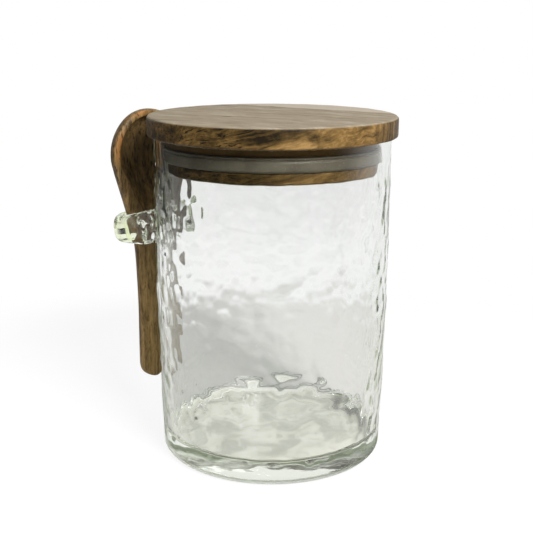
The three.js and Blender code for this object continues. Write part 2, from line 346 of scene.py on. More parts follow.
def new_turned_object(name, points):
    """An object from rings round the vertical axis, closed by a point on the axis at each end."""
    rings, columns = points.shape[:2]
    last = (rings - 1) * columns
    foot = rings * columns
    top = foot + 1
    faces = ring_faces(rings, columns)
    for column in range(columns):
        beside = (column + 1) % columns
        faces.append((beside, column, foot))
        faces.append((last + column, last + beside, top))
    poles = [(0, 0, points[ring, :, 2].mean()) for ring in (0, -1)]
    return new_object(name, np.vstack([points.reshape(-1, 3), poles]), faces)


def fixed(made):
    """The object with its modifiers applied."""
    depsgraph = bpy.context.evaluated_depsgraph_get()
    mesh = bpy.data.meshes.new_from_object(made.evaluated_get(depsgraph))
    made.modifiers.clear()
    made.data = mesh
    mesh.shade_smooth()
    return made


def joined(made, tool, operation):
    """The first object with the second one added to it or cut from it."""
    modifier = made.modifiers.new("join", "BOOLEAN")
    modifier.operation = operation
    modifier.solver = "EXACT"
    modifier.object = tool
    fixed(made)
    bpy.data.objects.remove(tool)
    return made


def points_of(made):
    """The mesh's points in millimetres."""
    flat = np.empty(len(made.data.vertices) * 3)
    made.data.vertices.foreach_get("co", flat)
    return flat.reshape(-1, 3) / MM


def normals_of(made):
    flat = np.empty(len(made.data.vertices) * 3)
    made.data.vertices.foreach_get("normal", flat)
    return flat.reshape(-1, 3)


def move_points(made, points):
    made.data.vertices.foreach_set("co", (points * MM).astype(np.float32).ravel())
    made.data.update()


def waves(points, size, layer):
    """Smooth noise from about -1 to 1 at each point, with bumps of about that size."""
    shift = Vector([step * layer for step in LAYER_STEPS])
    values = [noise.noise(Vector(point) / size + shift) for point in points.reshape(-1, 3)]
    return np.reshape(values, points.shape[:-1])


def faded(values, low, high):
    """0 up to low and 1 from high on, smoothly."""
    share = np.clip((values - low) / (high - low), 0, 1)
    return share * share * (3 - 2 * share)


def rounded_square(angle, squareness):
    """A point of a rounded square with sides of 2: a circle at a squareness of 2, and sharper above it."""
    power = 2 / squareness
    cos, sin = math.cos(angle), math.sin(angle)
    return math.copysign(abs(cos) ** power, cos), math.copysign(abs(sin) ** power, sin)


# Half sections: rows of a radius, a height, and the way that the surface faces


def arc(radius_at, height_at, radius, start, end):
    rows = []
    for angle in np.radians(np.linspace(start, end, ARC_STEPS + 1)):
        out, up = math.cos(angle), math.sin(angle)
        rows.append((radius_at + radius * out, height_at + radius * up, out, up))
    return rows


def straight(start, end, steps):
    """Rows along a line, which faces to its right."""
    along = np.subtract(end, start)
    facing = np.array([along[1], -along[0]]) / np.linalg.norm(along)
    return [(*np.add(start, along * share), *facing) for share in np.linspace(0, 1, steps)]


def turned(rows, columns):
    """Points of a half section turned about the vertical, and the way that each one faces."""
    rows = np.array(rows)
    angles = np.linspace(0, 2 * math.pi, columns, endpoint=False)
    out, side = np.cos(angles), np.sin(angles)
    points = np.empty((len(rows), columns, 3))
    facing = np.empty((len(rows), columns, 3))
    for target, across, up in ((points, 0, 1), (facing, 2, 3)):
        target[:, :, 0] = rows[:, across, None] * out
        target[:, :, 1] = rows[:, across, None] * side
        target[:, :, 2] = rows[:, up, None]
    return points, facing


def worn(rows, columns, wear, size, layer):
    """Points of a turned half section, moved in and out by uneven wear."""
    points, facing = turned(rows, columns)
    return points + (wear * waves(points, size, layer))[:, :, None] * facing


# Jar


def wall_radius(height):
    from_belly = (height - BELLY_HEIGHT) / (BELLY_HEIGHT - CURVE_START)
    return BELLY_RADIUS - (BELLY_RADIUS - FOOT_RADIUS) * from_belly**2


def bore_radius(height):
    return wall_radius(height) - WALL


def dimple_centres():
    """Middles of the hammered marks, in rows round the wall that are set off by half a mark."""
    centres = []
    columns = round(2 * math.pi * BELLY_RADIUS / DIMPLE_SIZE)
    pitch = DIMPLE_SIZE * math.sqrt(3) / 2
    for row in range(-1, int(JAR_HEIGHT / pitch) + 2):
        for column in range(columns):
            drift = generator.uniform(-DIMPLE_JITTER, DIMPLE_JITTER, 2)
            angle = 2 * math.pi * (column + row % 2 / 2 + drift[0]) / columns
            height = (row + drift[1]) * pitch
            radius = wall_radius(height)
            centres.append((radius * math.cos(angle), radius * math.sin(angle), height))
    return centres


def dimple_depths(points):
    """How deep the hammered marks are at points of the wall: round hollows with soft ridges between."""
    centres = dimple_centres()
    strengths = generator.uniform(*DIMPLE_STRENGTHS, len(centres))
    tree = kdtree.KDTree(len(centres))
    for index, centre in enumerate(centres):
        tree.insert(centre, index)
    tree.balance()
    depths = []
    for point in points.reshape(-1, 3):
        total, depth = TINY, 0.0
        for _, index, distance in tree.find_n(point, DIMPLE_NEIGHBOURS):
            share = math.exp(-DIMPLE_SOFTNESS * (2 * distance / DIMPLE_SIZE) ** 2)
            total += share
            depth += share * strengths[index]
        hollow = 1 + math.log(total) / DIMPLE_SOFTNESS
        depths.append(DIMPLE_DEPTH * hollow * depth / total)
    return np.reshape(depths, points.shape[:-1])


def jar_sections():
    """The jar's half section, from the middle of its underside over the rim to the middle of its floor."""
    rim = JAR_HEIGHT - GROUND_RIM
    corner_top = FLOOR + FLOOR_CORNER
    corner = bore_radius(corner_top) - FLOOR_CORNER
    under = wall_radius(HEEL_ROUNDING) - HEEL_ROUNDING
    wall_heights = np.linspace(HEEL_ROUNDING, rim, DIMPLED_ROWS)[1:-1]
    bore_heights = [
        *np.linspace(rim, FLOOR + POOL_ZONE, RIPPLED_ROWS)[1:],
        *np.linspace(FLOOR + POOL_ZONE, corner_top, POOL_ROWS)[1:-1],
    ]
    floor_radii = [
        *np.linspace(corner, corner - POOL_ZONE, POOL_ROWS)[1:],
        *np.linspace(corner - POOL_ZONE, GLASS_POLE, FLOOR_ROWS)[1:],
    ]
    outer_rim = arc(wall_radius(rim) - GROUND_RIM, rim, GROUND_RIM, 0, 90)
    inner_rim = arc(bore_radius(rim) + GROUND_RIM, rim, GROUND_RIM, 90, 180)
    corner_rows = arc(corner, corner_top, FLOOR_CORNER, 0, -90)
    return {
        "under": [(radius, 0, 0, -1) for radius in np.linspace(GLASS_POLE, under, FLOOR_ROWS)[:-1]],
        "heel": arc(under, HEEL_ROUNDING, HEEL_ROUNDING, -90, 0),
        "wall": [(wall_radius(height), height, 1, 0) for height in wall_heights],
        "rim": outer_rim + inner_rim,
        "bore": [(bore_radius(height), height, -1, 0) for height in bore_heights],
        "corner": [(radius, height, -out, -up) for radius, height, out, up in corner_rows],
        "floor": [(radius, FLOOR, 0, 1) for radius in floor_radii],
    }


def jagged(layer):
    """An uneven distance for each column of the jar."""
    ring = turned([(bore_radius(FLOOR), FLOOR, 0, 0)], GLASS_COLUMNS)[0][0]
    broad = waves(ring, POOL_JAG_SIZE, layer)
    fine = waves(ring, POOL_FINE_SIZE, layer + 1)
    return POOL_JAG_DEPTH * (broad + FINE_SHARE * fine)


def pooled_depths(climb, run):
    """How thick the pooled glass at the back of the floor is, at distances up the wall and inwards."""
    bearings = np.linspace(0, 2 * math.pi, GLASS_COLUMNS, endpoint=False) - math.radians(POOL_SIDE)
    up_wall = POOL_CLIMB + jagged(POOL_CLIMB_LAYER) - climb
    over_floor = POOL_RUN + jagged(POOL_RUN_LAYER) - run
    inside = np.minimum(up_wall, over_floor)
    return POOL_STEP * faded(inside, 0, POOL_EDGE) * faded(np.cos(bearings), *POOL_ENDS)


def make_jar():
    sections = jar_sections()
    kinds = np.repeat(list(sections), [len(rows) for rows in sections.values()])
    points, facing = turned(sum(sections.values(), []), GLASS_COLUMNS)
    heights = points[:, :, 2]
    below_rim = JAR_HEIGHT - heights
    from_bore = bore_radius(FLOOR) - np.hypot(points[:, :, 0], points[:, :, 1])
    depth = np.zeros(heights.shape)

    wall = kinds == "wall"
    hammered = faded(heights[wall], *SMOOTH_FOOT) * faded(below_rim[wall], *SMOOTH_NECK)
    depth[wall] = -dimple_depths(points[wall]) * hammered

    bore = kinds == "bore"
    rippled = faded(heights[bore], *RIPPLE_FOOT) * faded(below_rim[bore], *RIPPLE_NECK)
    depth[bore] = RIPPLE_DEPTH * waves(points[bore], RIPPLE_SIZE, RIPPLE_LAYER) * rippled

    inside = np.isin(kinds, ["bore", "corner", "floor"])
    depth[inside] += pooled_depths(heights[inside] - FLOOR, from_bore[inside])

    floor = kinds == "floor"
    broad = waves(points[floor], FLOOR_WAVE_SIZE, FLOOR_LAYER)
    fine = waves(points[floor], FLOOR_FINE_SIZE, FINE_FLOOR_LAYER)
    wavy = faded(from_bore[floor], *FLOOR_CALM_EDGE)
    depth[floor] += FLOOR_WAVE_DEPTH * (broad + FINE_SHARE * fine) * wavy

    return new_turned_object("blown_glass", points + depth[:, :, None] * facing)


# Loop


def strap_ring(x, y, outward):
    """One cross section of the loop's strap, square to its path in plan."""
    root = wall_radius(STRAP_ROOT_LEVEL)
    tip = SPOON_REACH + LOOP_INNER_RADIUS + STRAP_BEND_THICKNESS / 2
    share = min(max((-x - root) / (tip - root), 0), 1)
    eased = math.sin(share * math.pi / 2)
    thick = STRAP_ROOT_THICKNESS + (STRAP_BEND_THICKNESS - STRAP_ROOT_THICKNESS) * eased
    tall = STRAP_ROOT_HEIGHT + (STRAP_BEND_HEIGHT - STRAP_ROOT_HEIGHT) * eased
    level = STRAP_ROOT_LEVEL + (STRAP_BEND_LEVEL - STRAP_ROOT_LEVEL) * share
    ring = []
    for side in range(STRAP_SIDES):
        across, up = rounded_square(2 * math.pi * side / STRAP_SIDES, STRAP_SQUARENESS)
        offset = thick / 2 * (1 + across)
        ring.append((x + outward[0] * offset, y + outward[1] * offset, level + tall / 2 * up))
    return ring


def leg_ring(reach, side):
    """One cross section of a leg, on either side of the spoon. The legs are drawn in close to the wall."""
    root = wall_radius(STRAP_ROOT_LEVEL)
    to_bend = min(max((SPOON_REACH - reach) / (SPOON_REACH - root), 0), 1)
    drawn_in = (LOOP_INNER_RADIUS - LOOP_ROOT_HALF_GAP) * to_bend**LOOP_ROOT_SHARPNESS
    return strap_ring(-reach, side * (LOOP_INNER_RADIUS - drawn_in), (0, side))


def pressed(points, normals):
    """Points with flats pressed into the front leg near the wall, where a tool squeezed the hot strap."""
    free = -points[:, 0] < PRESSED_REACH
    smooth = points
    while free.any():
        index = generator.choice(np.flatnonzero(free))
        away = np.linalg.norm(points - points[index], axis=1)
        free &= away > FLAT_SPACING
        facing = normals[index] + FLAT_TILT * generator.normal(size=3)
        facing /= np.linalg.norm(facing)
        above = (points - points[index] + FLAT_DEPTH * normals[index]) @ facing
        share = 1 - faded(away, FLAT_REACH / 2, FLAT_REACH)
        points = points - (np.clip(above, 0, None) * share)[:, None] * facing
    in_front = smooth[:, 1:2] < 0
    return np.where(in_front, points, smooth)


def make_loop():
    """The strap from inside the wall, round the spoon and back into the wall."""
    buried = math.sqrt((wall_radius(STRAP_ROOT_LEVEL) - STRAP_BURIAL) ** 2 - LOOP_ROOT_HALF_GAP**2)
    legs = np.linspace(buried, SPOON_REACH, LEG_ROWS, endpoint=False)
    rings = [leg_ring(reach, -1) for reach in legs]
    for angle in np.linspace(-math.pi / 2, -3 * math.pi / 2, BEND_ROWS):
        outward = (math.cos(angle), math.sin(angle))
        inside = (LOOP_INNER_RADIUS * outward[0] - SPOON_REACH, LOOP_INNER_RADIUS * outward[1])
        rings.append(strap_ring(*inside, outward))
    rings += [leg_ring(reach, 1) for reach in legs[::-1]]
    points = np.array(rings).reshape(-1, 3)
    loop = new_object("loop", points, tube_faces(len(rings), STRAP_SIDES))
    normals = normals_of(loop)
    outwards = np.cos(2 * math.pi * np.arange(STRAP_SIDES) / STRAP_SIDES)
    lumpy = np.tile(faded(outwards, *STRAP_LUMP_SIDES), len(rings))
    lumps = STRAP_LUMP_DEPTH * waves(points, STRAP_LUMP_SIZE, LUMP_LAYER) * lumpy
    move_points(loop, pressed(points + lumps[:, None] * normals, normals))
    return loop


def is_at_root(point):
    """True close to where a leg of the strap meets the wall."""
    x, y, z = point / MM
    half = STRAP_ROOT_THICKNESS / 2
    off_wall = abs(math.hypot(x, y) - wall_radius(z))
    off_leg = abs(abs(y) - LOOP_ROOT_HALF_GAP - half) - half
    off_level = abs(z - STRAP_ROOT_LEVEL) - STRAP_ROOT_HEIGHT / 2
    return x < 0 and max(off_wall, off_leg, off_level) < FILLET


def soften_roots(glass):
    """Rounds the crease where the strap meets the wall, as hot glass does."""
    mesh = bmesh.new()
    mesh.from_mesh(glass.data)
    roots = [vertex for vertex in mesh.verts if is_at_root(vertex.co)]
    bmesh.ops.triangulate(mesh, faces=[face for face in mesh.faces if len(face.verts) > 4])
    axes = {"use_axis_x": True, "use_axis_y": True, "use_axis_z": True}
    for _ in range(FILLET_ROUNDS):
        bmesh.ops.smooth_vert(mesh, verts=roots, factor=SMOOTHING, **axes)
    mesh.to_mesh(glass.data)
    mesh.free()
    glass.data.shade_smooth()


# Lid and seal


def make_lid():
    """One turned piece, from the middle of the plug's underside to the middle of the cap's top."""
    rim = JAR_HEIGHT
    groove_top = rim - GROOVE_DROP
    groove_foot = groove_top - GROOVE_HEIGHT
    groove_floor = PLUG_RADIUS - GROOVE_DEPTH
    chamfer_top = PLUG_FOOT + PLUG_CHAMFER
    chamfer = PLUG_RADIUS - PLUG_CHAMFER
    eased = PLUG_RADIUS - GROOVE_EDGE
    under = CAP_UNDER_ROUNDING
    over = CAP_TOP_ROUNDING
    rows = straight((LID_POLE, PLUG_FOOT), (chamfer, PLUG_FOOT), steps=40)
    rows += straight((chamfer, PLUG_FOOT), (PLUG_RADIUS, chamfer_top), steps=4)
    rows += straight((PLUG_RADIUS, chamfer_top), (PLUG_RADIUS, groove_foot - GROOVE_EDGE), steps=10)
    rows += straight((eased, groove_foot), (groove_floor, groove_foot), steps=4)
    rows += straight((groove_floor, groove_foot), (groove_floor, groove_top), steps=6)
    rows += straight((groove_floor, groove_top), (eased, groove_top), steps=4)
    rows += straight((PLUG_RADIUS, groove_top + GROOVE_EDGE), (PLUG_RADIUS, rim), steps=6)
    rows += straight((PLUG_RADIUS, rim), (CAP_RADIUS - under, rim), steps=8)[1:-1]
    rows += arc(CAP_RADIUS - under, rim + under, under, -90, 0)
    rows += straight((CAP_RADIUS, rim + under), (CAP_RADIUS, CAP_TOP - over), steps=12)[1:-1]
    rows += arc(CAP_RADIUS - over, CAP_TOP - over, over, 0, 90)
    rows += straight((CAP_RADIUS - over, CAP_TOP), (LID_POLE, CAP_TOP), steps=50)[1:]
    points = worn(rows, LID_COLUMNS, LID_WEAR, LID_WEAR_SIZE, LID_LAYER)
    return new_turned_object("wooden_lid", points)


def make_seal():
    """A soft band, as one closed ring."""
    inside = SEAL_RADIUS - SEAL_DEPTH
    bead_foot = SEAL_TOP - BEAD_HEIGHT
    corners = [
        (inside, SEAL_FOOT),
        (SEAL_RADIUS - SEAL_FOOT_CHAMFER, SEAL_FOOT),
        (SEAL_RADIUS, SEAL_FOOT + SEAL_FOOT_CHAMFER),
        (SEAL_RADIUS, bead_foot - BEAD_NOTCH),
        (SEAL_RADIUS - BEAD_NOTCH, bead_foot),
        (SEAL_RADIUS, bead_foot + BEAD_NOTCH),
        (SEAL_RADIUS, SEAL_TOP - SEAL_TOP_CHAMFER),
        (SEAL_RADIUS - SEAL_TOP_CHAMFER, SEAL_TOP),
        (inside, SEAL_TOP),
    ]
    rows = []
    for start, end in zip(corners, corners[1:] + corners[:1]):
        rows += straight(start, end, SEAL_STEPS)[:-1]
    points = worn(rows, LID_COLUMNS, SEAL_WEAR, SEAL_WEAR_SIZE, SEAL_LAYER)
    faces = ring_faces(len(rows), LID_COLUMNS, closed=True)
    return new_object("silicone_seal", points.reshape(-1, 3), faces)


# Spoon


def spoon_half_width(height):
    if height > BOWL_CENTRE:
        return BOWL_RADIUS * math.sqrt(max(0, 1 - ((height - BOWL_CENTRE) / BOWL_CROWN) ** 2))
    if height > NECK_TOP:
        return math.sqrt(BOWL_RADIUS**2 - (height - BOWL_CENTRE) ** 2)
    if height < HANDLE_HALF:
        return math.sqrt(max(0, HANDLE_HALF**2 - (HANDLE_HALF - height) ** 2))
    neck = NECK_TOP_HALF - (NECK_TOP - height) * math.tan(NECK_TAPER)
    blend = min(NECK_BLEND, NECK_TOP - height)
    return (neck + HANDLE_HALF + math.hypot(neck - HANDLE_HALF, blend)) / 2


def spoon_ring(height):
    """One cross section: flat in front, and rounder behind the bowl than behind the handle."""
    half = spoon_half_width(height)
    bowl = 1.0 if height > NECK_TOP else float(faded(half, HANDLE_HALF, NECK_TOP_HALF))
    back = RIM_FRONT + (BOWL_BACK_DEPTH * half / BOWL_RADIUS - RIM_FRONT) * bowl
    front_squareness = HANDLE_SQUARENESS + (RIM_SQUARENESS - HANDLE_SQUARENESS) * bowl
    back_squareness = HANDLE_SQUARENESS + (BACK_SQUARENESS - HANDLE_SQUARENESS) * bowl
    ring = []
    for side in range(SPOON_SIDES):
        is_front = side < SPOON_SIDES / 2
        squareness = front_squareness if is_front else back_squareness
        across, deep = rounded_square(2 * math.pi * side / SPOON_SIDES, squareness)
        ring.append((deep * (RIM_FRONT if is_front else back), -across * half, height))
    return ring


def make_hollow():
    """The cutter for the bowl: its outline inside the rim, turned about the spoon's axis and flattened."""
    inside = BOWL_RADIUS - BOWL_RIM
    rows = [(HOLLOW_POINT, NECK_FOOT + HOLLOW_FOOT, 0, 0)]
    for angle in np.linspace(-NECK_TAPER, math.pi / 2, HOLLOW_ROWS)[:-1]:
        rise = inside if angle < 0 else BOWL_CROWN - BOWL_RIM
        rows.append((inside * math.cos(angle), BOWL_CENTRE + rise * math.sin(angle), 0, 0))
    points, _ = turned(rows, HOLLOW_COLUMNS)
    points[:, :, 0] = points[:, :, 0] * HOLLOW_DEPTH / inside + RIM_FRONT
    return new_object("hollow", points.reshape(-1, 3), tube_faces(len(rows), HOLLOW_COLUMNS))


def placed(points):
    """Points of the spoon, turned about its axis and set in its loop."""
    turn = -math.radians(SPOON_TURN)
    x, y, z = points.T
    return np.column_stack([
        x * math.cos(turn) - y * math.sin(turn) - SPOON_REACH,
        x * math.sin(turn) + y * math.cos(turn),
        z + SPOON_FOOT,
    ])


def make_spoon():
    shares = np.linspace(0, math.pi, SPOON_RINGS)[1:-1]
    rings = [spoon_ring(height) for height in SPOON_LENGTH * (1 - np.cos(shares)) / 2]
    blank_faces = tube_faces(len(rings), SPOON_SIDES)
    spoon = new_object("wooden_spoon", np.array(rings).reshape(-1, 3), blank_faces)
    joined(spoon, make_hollow(), "DIFFERENCE")

    remesh = spoon.modifiers.new("even", "REMESH")
    remesh.mode = "VOXEL"
    remesh.voxel_size = CARVE_VOXEL * MM
    smooth = spoon.modifiers.new("worn", "SMOOTH")
    smooth.factor = SMOOTHING
    smooth.iterations = CARVE_ROUNDS
    fixed(spoon)

    points = points_of(spoon)
    marks = CARVE_WAVE_DEPTH * waves(points * CARVE_STRETCH, CARVE_WAVE_SIZE, CARVE_LAYER)
    move_points(spoon, placed(points + marks[:, None] * normals_of(spoon)))
    return spoon


# Materials


class Shader:
    """The nodes of a material or world, with short calls for those that several of them share."""

    def __init__(self, owner, surface="Principled BSDF"):
        owner.use_nodes = True
        self.owner = owner
        self.tree = owner.node_tree
        self.surface = self.tree.nodes[surface]

    def set(self, socket, value):
        """Links a socket to another node's output, or sets it to a number or colour."""
        if isinstance(value, bpy.types.NodeSocket):
            self.tree.links.new(value, socket)
        else:
            socket.default_value = value

    def node(self, kind, inputs, **settings):
        made = self.tree.nodes.new(kind)
        for key, value in settings.items():
            setattr(made, key, value)
        for key, value in inputs.items():
            self.set(made.inputs[key], value)
        return made

    def finish(self, **inputs):
        """Sets the surface's own sockets."""
        for key, value in inputs.items():
            self.set(self.surface.inputs[key.replace("_", " ")], value)
        return self.owner

    def output(self, name, value):
        """Sets what the whole material gives out, as its surface or its volume."""
        self.set(self.tree.nodes["Material Output"].inputs[name], value)

    def place(self):
        return self.node("ShaderNodeTexCoord", {}).outputs["Object"]

    def path(self, name):
        return self.node("ShaderNodeLightPath", {}).outputs[name]

    def maths(self, operation, first, second):
        return self.node("ShaderNodeMath", {0: first, 1: second}, operation=operation).outputs[0]

    def times(self, first, *others):
        for other in others:
            first = self.maths("MULTIPLY", first, other)
        return first

    def most(self, first, *others):
        for other in others:
            first = self.maths("MAXIMUM", first, other)
        return first

    def blend(self, *parts):
        """A sum of values, each times its share."""
        total = 0.0
        for value, share in parts:
            inputs = {0: value, 1: share, 2: total}
            total = self.node("ShaderNodeMath", inputs, operation="MULTIPLY_ADD").outputs[0]
        return total

    def share(self, value, low, high):
        """0 where the value is low and 1 where it is high, smoothly."""
        inputs = {"Value": value, "From Min": low, "From Max": high}
        return self.node("ShaderNodeMapRange", inputs, interpolation_type="SMOOTHSTEP").outputs[0]

    def vector(self, operation, first, second):
        return self.node("ShaderNodeVectorMath", {0: first, 1: second}, operation=operation).outputs[0]

    def length(self, vector):
        return self.node("ShaderNodeVectorMath", {0: vector}, operation="LENGTH").outputs["Value"]

    def axis(self, vector, name):
        return self.node("ShaderNodeSeparateXYZ", {0: vector}).outputs[name]

    def near(self, vector, centre, size):
        """1 at a point and 0 at a distance from it, with a size for each axis."""
        offset = self.vector("SUBTRACT", vector, centre)
        return self.share(self.length(self.vector("DIVIDE", offset, size)), *NEAR_FADE)

    def mapped(self, vector, turn=0.0, stretch=(1, 1, 1), shift=(0, 0, 0)):
        inputs = {
            "Vector": vector,
            "Rotation": (0, 0, math.radians(turn)),
            "Scale": stretch,
            "Location": shift,
        }
        return self.node("ShaderNodeMapping", inputs).outputs[0]

    def noise(self, vector, scale=1.0, detail=3.0, roughness=0.55, distortion=0.0):
        inputs = {
            "Vector": vector,
            "Scale": scale,
            "Detail": detail,
            "Roughness": roughness,
            "Distortion": distortion,
        }
        return self.node("ShaderNodeTexNoise", inputs).outputs[0]

    def grain(self, vector, stretch, **settings):
        """Noise with its own fineness along each axis."""
        return self.noise(self.mapped(vector, stretch=stretch), **settings)

    def warped(self, vector, scale, amount):
        inputs = {"Vector": vector, "Scale": scale, "Detail": 3.0}
        swirl = self.node("ShaderNodeTexNoise", inputs).outputs[1]
        centred = self.vector("SUBTRACT", swirl, (0.5, 0.5, 0.5))
        inputs = {0: centred, 1: (amount, amount, amount), 2: vector}
        return self.node("ShaderNodeVectorMath", inputs, operation="MULTIPLY_ADD").outputs[0]

    def mix(self, share, first, second):
        """A colour that goes from the first to the second."""
        inputs = {0: share, 6: first, 7: second}
        return self.node("ShaderNodeMix", inputs, data_type="RGBA").outputs[2]

    def ramp(self, value, *stops):
        """A colour that runs through stops, each a value and a colour."""
        node = self.node("ShaderNodeValToRGB", {0: value})
        elements = node.color_ramp.elements
        for index, (position, shade) in enumerate(stops):
            element = elements[index] if index < 2 else elements.new(position)
            element.position = position
            element.color = shade
        return node.outputs[0]

    def bump(self, height, distance, strength):
        inputs = {"Height": height, "Distance": distance, "Strength": strength}
        return self.node("ShaderNodeBump", inputs).outputs[0]

    def mixed(self, share, first, second):
        """A surface that goes from the first to the second."""
        return self.node("ShaderNodeMixShader", {0: share, 1: first, 2: second}).outputs[0]

    def clear(self, shade=WHITE):
        return self.node("ShaderNodeBsdfTransparent", {"Color": shade}).outputs[0]


def colour(red, green, blue):
    """A colour as a picture shows it, from 0 to 255, in the shader's linear light."""
    shown = np.array([red, green, blue]) / 255
    linear = np.where(shown <= 0.04045, shown / 12.92, ((shown + 0.055) / 1.055) ** 2.4)
    return (*linear.tolist(), 1.0)


def glass_material():
    """Clear glass, greener where it is thick. Lamps shine through it unbent, less where they graze it."""
    shader = Shader(bpy.data.materials.new("clear_glass"))
    place = shader.place()
    cords = shader.grain(place, (60, 60, 15))
    tint = shader.mix(shader.share(cords, 0.35, 0.65), GLASS_TINT, WHITE)
    in_bend = shader.share(shader.axis(place, "X"), *LOOP_TINTED)
    radius = shader.length(shader.vector("MULTIPLY", place, (1, 1, 0)))
    at_foot = shader.share(shader.axis(place, "Z"), *SCUFF_HEIGHTS)
    heel = shader.times(at_foot, shader.share(radius, *SCUFF_RADII))
    shader.finish(
        Base_Color=shader.mix(in_bend, tint, LOOP_TINT),
        Roughness=shader.blend((cords, 0.02), (heel, HEEL_SCUFF)),
        IOR=GLASS_IOR,
        Transmission_Weight=1.0,
        Normal=shader.bump(cords, 0.0004, 0.35),
    )
    grazing = shader.node("ShaderNodeLayerWeight", {"Blend": 0.5}).outputs["Facing"]
    passing = shader.clear(shader.mix(grazing, SHADOW_FACING, SHADOW_GRAZING))
    is_light = shader.most(shader.path("Is Shadow Ray"), shader.path("Is Diffuse Ray"))
    shader.output("Surface", shader.mixed(is_light, shader.surface.outputs[0], passing))
    thick = {"Color": THICK_TINT, "Density": THICK_DENSITY}
    shader.output("Volume", shader.node("ShaderNodeVolumeAbsorption", thick).outputs[0])
    return shader.owner


def lid_side(shader, laid, wavy, hair, sloped):
    """Knotty wood with dark cracks, painted shade that darkens the left side and its cracks, a patch of
    painted light at the front right, and upright stripes at its right end.
    """
    across = shader.axis(laid, "X")
    shaded_left = shader.share(across, *LID_SHADED_LEFT)
    at_end = shader.share(across, *LID_END)
    tone = shader.blend(
        (shader.grain(sloped, (22, 130, 260), detail=5.0, roughness=0.62, distortion=0.8), 0.4),
        (hair, 0.25),
        (shader.noise(wavy, scale=46.0, detail=4.0), 0.2),
        (shader.noise(wavy, scale=380.0, detail=5.0, roughness=0.75), 0.15),
        # painted shade: the left side is darker
        (shaded_left, -0.06),
        (shader.near(wavy, *KNOT), -0.1),
        # painted light: a lighter patch at the front right, where the key lamp falls
        (shader.near(wavy, *LIT_PATCH), 0.04),
    )
    cracks = shader.grain(sloped, (70, 500, 1000), detail=4.0, roughness=0.65)
    crack = shader.share(cracks, 0.45, 0.38)
    # painted shade: the cracks are drawn darker on the left side
    tone = shader.blend((crack, shader.blend((shaded_left, -0.2), (1.0, -0.02))), (tone, 1.0))
    stripe = shader.grain(wavy, (420, 420, 15), detail=4.0)
    to_stripe = shader.maths("SUBTRACT", stripe, tone)
    tone = shader.blend((to_stripe, shader.times(at_end, 0.6)), (at_end, -0.06), (tone, 1.0))
    return shader.ramp(
        tone,
        (0.33, colour(30, 22, 8)),
        (0.42, colour(78, 60, 30)),
        (0.50, colour(121, 94, 53)),
        (0.59, colour(166, 131, 80)),
    )


def lid_top(shader, wavy, along, lines, fine):
    """Wood of the top, painted paler and greyer than the side as painted sheen over the wood's own colour,
    with a band of sapwood at the back and one pin knot.
    """
    short = shader.grain(along, (60, 190, 190), detail=4.0, roughness=0.65)
    top = shader.ramp(
        shader.blend((lines, 0.4), (short, 0.35), (fine, 0.25)),
        (0.33, colour(100, 86, 64)),
        (0.43, colour(146, 133, 111)),
        (0.54, colour(166, 153, 132)),
        (0.65, colour(192, 181, 162)),
    )
    sapwood = shader.share(shader.axis(along, "Y"), *SAPWOOD_EDGE)
    top = shader.mix(shader.times(sapwood, 0.7), top, colour(210, 198, 180))
    pin_knot = shader.near(wavy, *PIN_KNOT)
    return shader.mix(shader.times(pin_knot, 0.8), top, colour(66, 52, 32))


def lid_material():
    shader = Shader(bpy.data.materials.new("lid_wood"))
    place = shader.place()
    height = shader.axis(place, "Z")
    laid = shader.mapped(place, turn=-VIEW_TURN)
    wavy = shader.warped(shader.warped(laid, 24.0, 0.014), 90.0, 0.003)
    slope = shader.times(shader.axis(laid, "X"), GRAIN_SLOPE)
    rise = shader.node("ShaderNodeCombineXYZ", {"Z": slope}).outputs[0]
    sloped = shader.vector("ADD", wavy, rise)
    along = shader.warped(shader.mapped(wavy, turn=GRAIN_TURN), 14.0, 0.012)
    hair = shader.grain(sloped, (60, 900, 1100), detail=6.0, roughness=0.7)
    lines = shader.grain(along, (9, 130, 130), detail=4.0, roughness=0.6)
    fine = shader.grain(along, (60, 1100, 1100), detail=4.0, roughness=0.7)

    side = lid_side(shader, laid, wavy, hair, sloped)
    # Painted light: the plug between the seal and the cap is lightened where it lies in the cap's shade
    gap_painted_light = shader.times(shader.share(height, *GAP_LIGHT_FOOT), shader.share(height, *GAP_LIGHT_TOP), 0.6)
    side = shader.mix(gap_painted_light, side, colour(176, 140, 88))
    is_top = shader.share(height, *TOP_EDGE)
    is_under = shader.share(height, *UNDER_EDGE)
    is_top_or_under = shader.most(is_top, is_under)
    top = lid_top(shader, wavy, along, lines, fine)
    # painted sheen on the top, and the bare pale wood of the plug's underside
    sheen_top_bare_under = shader.mix(shader.times(is_under, 0.75), top, colour(226, 214, 186))
    relief = shader.blend((hair, 0.6), (fine, 0.4))
    return shader.finish(
        Base_Color=shader.mix(is_top_or_under, side, sheen_top_bare_under),
        Roughness=shader.blend((lines, 0.25), (is_top_or_under, 0.25), (1.0, 0.38)),
        Specular_IOR_Level=0.15,
        Normal=shader.bump(relief, 0.0003, 0.5),
    )


